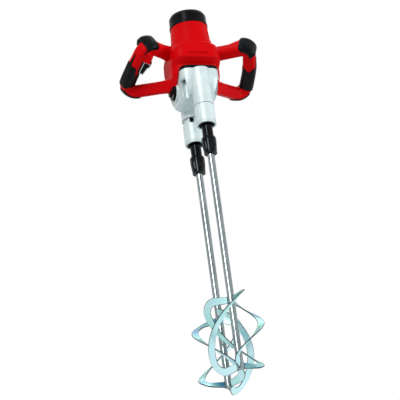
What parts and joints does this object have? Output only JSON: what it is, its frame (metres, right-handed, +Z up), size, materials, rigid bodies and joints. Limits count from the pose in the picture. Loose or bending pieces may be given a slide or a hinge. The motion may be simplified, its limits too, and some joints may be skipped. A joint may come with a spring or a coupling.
{
  "type": "mixing drill",
  "caption": "Hand-held twin-spindle mixing drill: a motor over a gear housing, twisted D handles with a trigger, and paired helical stirrers that mesh.",
  "frame": {"origin": "midway between the two spindle necks, in the plane of their lower rims", "axes": "+Z up along the spindles, +Y from the front spindle to the rear one towards the operator, +X towards the handle without a trigger"},
  "size_m": [0.3434, 0.2482, 0.9818],
  "materials": {
    "ground_steel": "ground",
    "copper_winding": "lacquered",
    "brass_holder": "satin",
    "carbon": "matte",
    "black_shell": "satin",
    "dark_steel": "blackened",
    "cast_alloy": "satin",
    "bright_steel": "polished",
    "soft_grip": "matte",
    "red_shell": "gloss",
    "seal_rubber": "matte"
  },
  "bodies": {
    "housing": {"brush_holders": "brass_holder", "carbon_brushes": "carbon", "field_coils": "copper_winding", "field_stack": "ground_steel", "front_neck": "cast_alloy", "gear_cover": "cast_alloy", "gear_housing": "cast_alloy", "handle_screws": "dark_steel", "housing_screws": "dark_steel", "idler_pin": "ground_steel", "left_front_bumper": "soft_grip", "left_grip": "soft_grip", "left_handle_lower_shell": "red_shell", "left_handle_upper_shell": "red_shell", "left_rear_bumper": "soft_grip", "motor_bearings": "ground_steel", "motor_cap": "black_shell", "motor_housing": "red_shell", "neck_screw": "dark_steel", "rear_neck": "cast_alloy", "right_front_bumper": "soft_grip", "right_grip": "soft_grip", "right_handle_lower_shell": "red_shell", "right_handle_upper_shell": "red_shell", "right_rear_bumper": "soft_grip", "shaft_seals": "seal_rubber", "spindle_bearings": "ground_steel", "switch_module": "black_shell", "yoke": "red_shell"},
    "front_spindle": {"front_spindle": "bright_steel", "front_spindle_gear": "ground_steel", "front_coupling_rings": "dark_steel", "front_locking_balls": "ground_steel", "front_stirrer_rod": "bright_steel", "front_stirrer_blades": "bright_steel"},
    "rear_spindle": {"rear_spindle": "bright_steel", "rear_spindle_gear": "ground_steel", "rear_coupling_rings": "dark_steel", "rear_locking_balls": "ground_steel", "rear_stirrer_rod": "bright_steel", "rear_stirrer_blades": "bright_steel"},
    "front_sleeve": {"front_coupling_sleeve": "dark_steel"},
    "rear_sleeve": {"rear_coupling_sleeve": "dark_steel"},
    "output_shaft": {"output_shaft": "ground_steel"},
    "low_gear": {"low_speed_gear": "ground_steel"},
    "high_gear": {"high_speed_gear": "ground_steel"},
    "idler": {"idler_gear": "ground_steel"},
    "countershaft": {"countershaft": "ground_steel", "countershaft_input_gear": "ground_steel"},
    "armature": {"armature_shaft": "ground_steel", "armature_core": "ground_steel", "armature_windings": "copper_winding", "commutator": "copper_winding", "cooling_fan": "black_shell"},
    "dog_sleeve": {"dog_sleeve": "ground_steel"},
    "shift_fork": {"shift_fork": "ground_steel"},
    "selector": {"selector_knob": "black_shell", "selector_shaft": "ground_steel"},
    "trigger": {"trigger": "black_shell"}
  },
  "joints": [
    {"name": "front_spindle_spin", "type": "hinge", "parent": "housing", "child": "front_spindle", "pos_m": [0, -0.052, 0], "axis": [0, 0, 1], "continuous": true},
    {"name": "rear_spindle_spin", "type": "hinge", "parent": "housing", "child": "rear_spindle", "pos_m": [0, 0.052, 0], "axis": [0, 0, 1], "continuous": true},
    {"name": "output_shaft_spin", "type": "hinge", "parent": "housing", "child": "output_shaft", "pos_m": [0, -0.01733, 0], "axis": [0, 0, 1], "continuous": true},
    {"name": "idler_spin", "type": "hinge", "parent": "housing", "child": "idler", "pos_m": [0, 0.01733, 0], "axis": [0, 0, 1], "continuous": true},
    {"name": "low_gear_spin", "type": "hinge", "parent": "housing", "child": "low_gear", "pos_m": [0, -0.01733, 0], "axis": [0, 0, 1], "continuous": true},
    {"name": "high_gear_spin", "type": "hinge", "parent": "housing", "child": "high_gear", "pos_m": [0, -0.01733, 0], "axis": [0, 0, 1], "continuous": true},
    {"name": "countershaft_spin", "type": "hinge", "parent": "housing", "child": "countershaft", "pos_m": [-0.02396, 0.00072, 0], "axis": [0, 0, 1], "continuous": true},
    {"name": "armature_spin", "type": "hinge", "parent": "housing", "child": "armature", "pos_m": [0, -0.01733, 0], "axis": [0, 0, 1], "continuous": true},
    {"name": "front_sleeve_slide", "type": "slide", "parent": "front_spindle", "child": "front_sleeve", "axis": [0, 0, 1], "range_m": [0, 0.006], "stiffness_N_per_m": 1500},
    {"name": "rear_sleeve_slide", "type": "slide", "parent": "rear_spindle", "child": "rear_sleeve", "axis": [0, 0, 1], "range_m": [0, 0.006], "stiffness_N_per_m": 1500},
    {"name": "selector_turn", "type": "hinge", "parent": "housing", "child": "selector", "pos_m": [-0.051, 0.006, 0.1215], "axis": [-1, 0, 0], "range_deg": [0, 90]},
    {"name": "shift_fork_slide", "type": "slide", "parent": "housing", "child": "shift_fork", "axis": [0, 0, -1], "range_m": [0, 0.00721]},
    {"name": "dog_sleeve_slide", "type": "slide", "parent": "output_shaft", "child": "dog_sleeve", "axis": [0, 0, -1], "range_m": [0, 0.00721]},
    {"name": "trigger_slide", "type": "slide", "parent": "housing", "child": "trigger", "axis": [-0.8948, -0.0147, 0.4463], "range_m": [0, 0.006], "stiffness_N_per_m": 900}
  ],
  "couplings": [
    {"joint": "rear_spindle_spin", "follows": "front_spindle_spin", "ratio": -1},
    {"joint": "output_shaft_spin", "follows": "front_spindle_spin", "ratio": -1},
    {"joint": "idler_spin", "follows": "front_spindle_spin", "ratio": 1},
    {"joint": "low_gear_spin", "follows": "front_spindle_spin", "ratio": -1},
    {"joint": "countershaft_spin", "follows": "front_spindle_spin", "ratio": 2.3333},
    {"joint": "high_gear_spin", "follows": "front_spindle_spin", "ratio": -1.7246},
    {"joint": "armature_spin", "follows": "front_spindle_spin", "ratio": -11.667},
    {"joint": "selector_turn", "follows": "shift_fork_slide", "rad_per_m": 217.79},
    {"joint": "dog_sleeve_slide", "follows": "shift_fork_slide", "ratio": 1}
  ]
}
